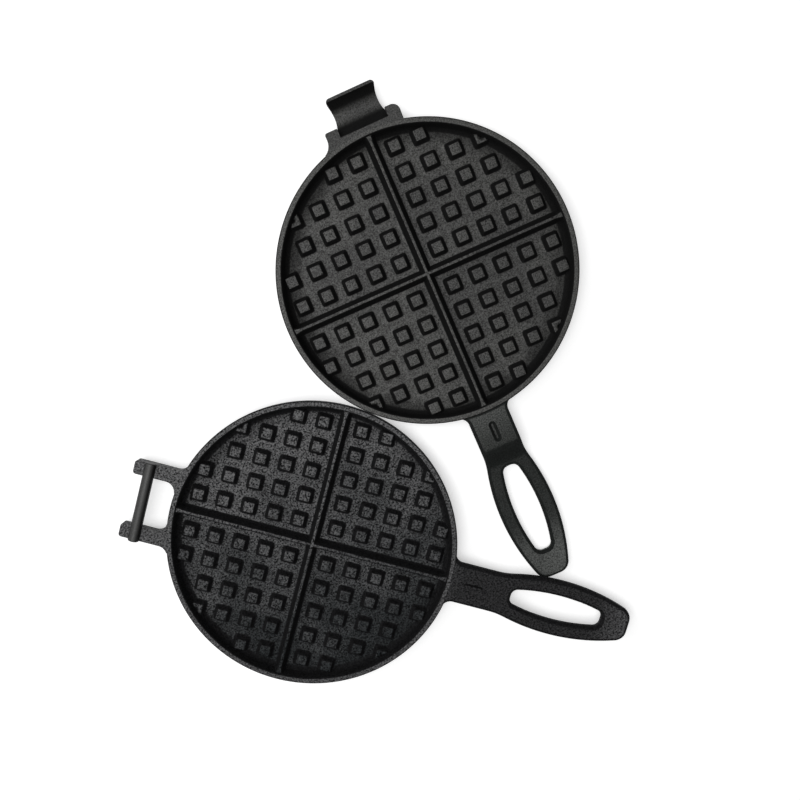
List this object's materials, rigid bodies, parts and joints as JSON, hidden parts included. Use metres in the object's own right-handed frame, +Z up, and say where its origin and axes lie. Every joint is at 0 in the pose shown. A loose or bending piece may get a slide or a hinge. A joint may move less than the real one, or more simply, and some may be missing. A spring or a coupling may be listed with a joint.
{
  "type": "stovetop waffle iron",
  "caption": "Round cast-iron stovetop waffle iron in two pegged halves with ring handles, lying open side by side; a bar on one half hooks into a trough on the other.",
  "frame": {"origin": "centre of the hook half's flat base, at the height it stands on", "axes": "+Z up out of the cooking face; +Y from the hook half's centre to its hook; -Y along its handle"},
  "size_m": [0.3564, 0.4041, 0.0183],
  "materials": {
    "seasoned_iron": "sand-cast, seasoned black, matte to satin",
    "bar_steel": "round bar, smooth, darkened by seasoning"
  },
  "bodies": {
    "hook_half": {"hook_pan": "seasoned_iron", "hook_grid": "seasoned_iron", "hook_handle": "seasoned_iron", "hook_claw": "seasoned_iron"},
    "bar": {"hinge_bar": "bar_steel"},
    "fork_half": {"fork_pan": "seasoned_iron", "fork_grid": "seasoned_iron", "fork_handle": "seasoned_iron", "fork_arms": "seasoned_iron"}
  },
  "joints": [
    {"name": "place_beside", "type": "hinge", "parent": "hook_half", "child": "bar", "pos_m": [-0.15985, 0.08375, 0], "axis": [0, 0, 1], "range_deg": [-231.3, 0]},
    {"name": "close", "type": "hinge", "parent": "bar", "child": "fork_half", "pos_m": [-0.23417, -0.06154, 0.01455], "axis": [-0.6252, -0.7804, 0], "range_deg": [0, 180]}
  ]
}
